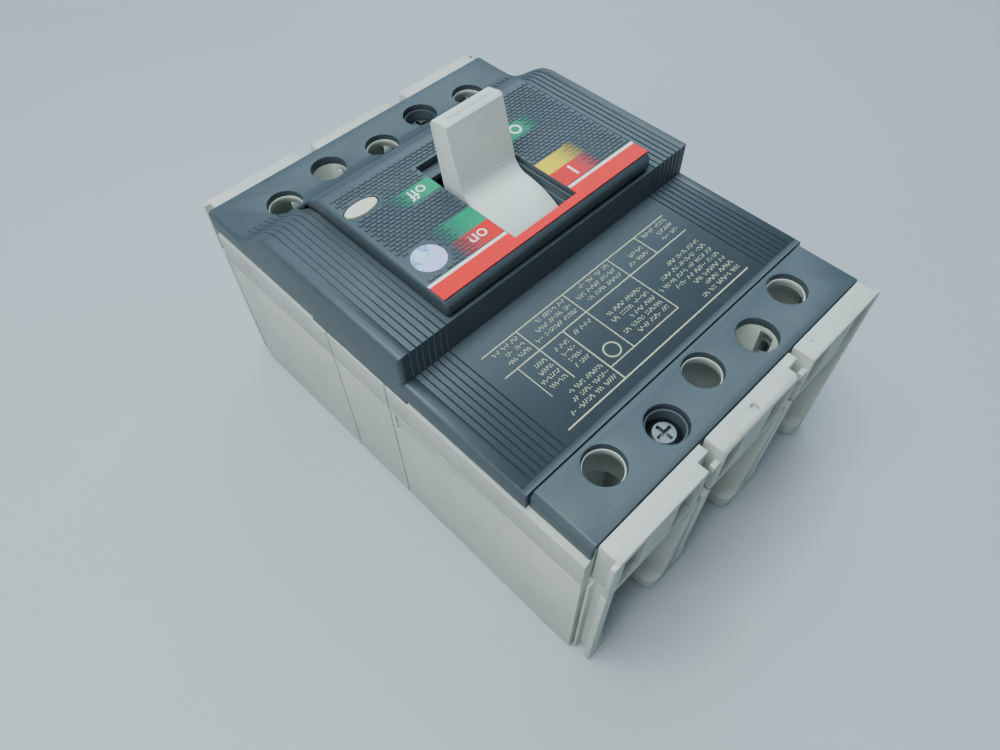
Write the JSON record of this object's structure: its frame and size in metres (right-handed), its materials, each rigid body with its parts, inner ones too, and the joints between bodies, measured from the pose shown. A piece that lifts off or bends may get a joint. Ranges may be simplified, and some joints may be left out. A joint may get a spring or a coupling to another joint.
{
  "type": "molded case circuit breaker",
  "caption": "Molded case circuit breaker: light case with dark ridged covers, recessed toggle handle, trip button, end covers, linked contacts, arc chutes and a trip bar inside.",
  "frame": {"origin": "centre of the back mounting face's box, at the bottom of the part as it lies on its back", "axes": "+Z out of the front, +Y towards the line end, +X to the right of someone facing the front with the line end up"},
  "size_m": [0.105, 0.15, 0.0973],
  "materials": {
    "light_plastic": "light warm grey moulding, fine matte grain",
    "dark_plastic": "dark blue-grey moulding, satin",
    "handle_plastic": "pale grey moulding, smooth",
    "fibre": "brown vulcanised fibre and plated plates",
    "steel": "zinc plated",
    "black_steel": "black oxide",
    "copper": "bare copper",
    "silver_plate": "tin plated",
    "red_plastic": "red thermoset"
  },
  "bodies": {
    "housing": {"arc_chute_centre": "fibre", "arc_chute_left": "fibre", "arc_chute_right": "fibre", "base_case": "light_plastic", "bimetal_centre": "silver_plate", "bimetal_left": "silver_plate", "bimetal_right": "silver_plate", "blanking_plug": "handle_plastic", "cover_screw_line": "black_steel", "cover_screw_load": "black_steel", "escutcheon": "dark_plastic", "fixed_contact_centre": "copper", "fixed_contact_left": "copper", "fixed_contact_right": "copper", "front_cover": "dark_plastic", "line_end_cover_centre": "light_plastic", "line_end_cover_left": "light_plastic", "line_end_cover_right": "light_plastic", "line_terminal_centre": "silver_plate", "line_terminal_cover": "dark_plastic", "line_terminal_left": "silver_plate", "line_terminal_right": "silver_plate", "line_terminal_screw_centre": "steel", "line_terminal_screw_left": "steel", "line_terminal_screw_right": "steel", "load_conductor_centre": "copper", "load_conductor_left": "copper", "load_conductor_right": "copper", "load_end_cover_centre": "light_plastic", "load_end_cover_left": "light_plastic", "load_end_cover_right": "light_plastic", "load_terminal_centre": "silver_plate", "load_terminal_left": "silver_plate", "load_terminal_right": "silver_plate", "load_terminal_screw_centre": "steel", "load_terminal_screw_left": "steel", "load_terminal_screw_right": "steel", "magnet_yoke_centre": "steel", "magnet_yoke_left": "steel", "magnet_yoke_right": "steel", "mechanism_plate_left": "steel", "mechanism_plate_right": "steel", "middle_case": "light_plastic"},
    "toggle": {"toggle": "handle_plastic", "slot_shield": "dark_plastic", "handle_arm": "steel", "main_spring_left": "steel", "main_spring_right": "steel"},
    "contacts": {"crossbar": "red_plastic", "contact_arm_left": "copper", "contact_arm_centre": "copper", "contact_arm_right": "copper"},
    "lower_link": {"lower_link": "steel"},
    "upper_link": {"upper_link": "steel"},
    "trip_bar": {"trip_bar": "red_plastic"},
    "trip_button": {"trip_button": "red_plastic"},
    "cradle": {"cradle": "steel"}
  },
  "joints": [
    {"name": "toggle_hinge", "type": "hinge", "parent": "housing", "child": "toggle", "pos_m": [0, -0.0098, 0.0529], "axis": [-1, 0, 0], "range_deg": [-5, 27]},
    {"name": "crossbar_hinge", "type": "hinge", "parent": "housing", "child": "contacts", "pos_m": [0, -0.004, 0.02], "axis": [-1, 0, 0], "range_deg": [-5.1, 27.5]},
    {"name": "upper_link_hinge", "type": "hinge", "parent": "housing", "child": "upper_link", "pos_m": [0, -0.002, 0.046], "axis": [1, 0, 0], "range_deg": [-7, 36]},
    {"name": "cradle_hinge", "type": "hinge", "parent": "housing", "child": "cradle", "pos_m": [0, 0.006, 0.056], "axis": [-1, 0, 0], "range_deg": [0, 20]},
    {"name": "lower_link_hinge", "type": "hinge", "parent": "contacts", "child": "lower_link", "pos_m": [0, 0.0005, 0.02779], "axis": [-1, 0, 0], "range_deg": [-7.5, 1.5]},
    {"name": "trip_button_slide", "type": "slide", "parent": "housing", "child": "trip_button", "axis": [0, 0, -1], "range_m": [0, 0.0015], "stiffness_N_per_m": 300},
    {"name": "trip_bar_hinge", "type": "hinge", "parent": "housing", "child": "trip_bar", "pos_m": [0, -0.038, 0.0495], "axis": [-1, 0, 0], "range_deg": [0, 19]}
  ],
  "couplings": [
    {"joint": "crossbar_hinge", "follows": "toggle_hinge", "ratio": 1.0185},
    {"joint": "upper_link_hinge", "follows": "toggle_hinge", "ratio": 1.33},
    {"joint": "lower_link_hinge", "follows": "toggle_hinge", "ratio": -0.27},
    {"joint": "trip_bar_hinge", "follows": "trip_button_slide", "rad_per_m": 210}
  ]
}
